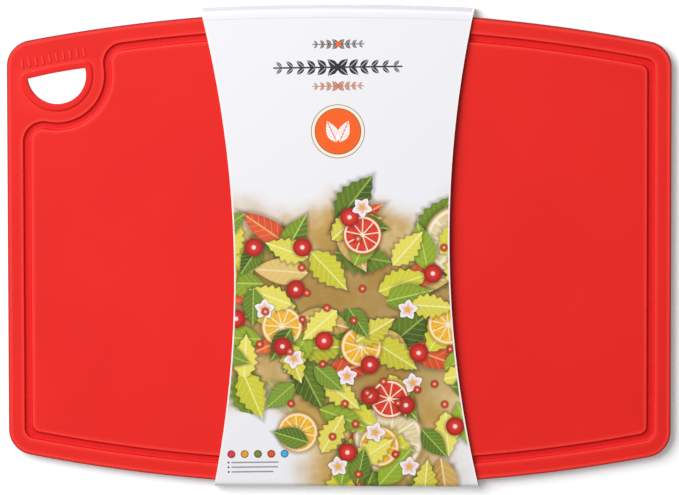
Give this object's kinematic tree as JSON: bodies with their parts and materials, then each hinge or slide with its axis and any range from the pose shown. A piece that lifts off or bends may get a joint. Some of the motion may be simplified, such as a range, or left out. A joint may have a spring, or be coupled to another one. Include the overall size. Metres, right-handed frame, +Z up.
{
  "type": "flexible cutting mat",
  "caption": "Flexible silicone cutting mat with arched long sides, a juice groove, a half-moon hand and hanging hole in a corner, and a printed card sleeve that slides off.",
  "frame": {"origin": "on the surface that the mat and its sleeve lie on, under the middle of the mat", "axes": "+X along the mat's long side, towards the end without the hand hole; +Y across the mat, towards the long side that the hand hole is near; +Z up, out of the grooved cutting face"},
  "size_m": [0.37, 0.2697, 0.0104],
  "materials": {
    "red_silicone": "satin moulded silicone",
    "white_card": "coated white board, printed on the outside",
    "card_glue": "dried glue film"
  },
  "bodies": {
    "mat": {"silicone_mat": "red_silicone"},
    "sleeve": {"card_sleeve": "white_card", "seam_glue": "card_glue"}
  },
  "joints": [
    {"name": "sleeve_slide", "type": "slide", "parent": "mat", "child": "sleeve", "axis": [1, 0, 0], "range_m": [-0.27, 0.27]}
  ]
}
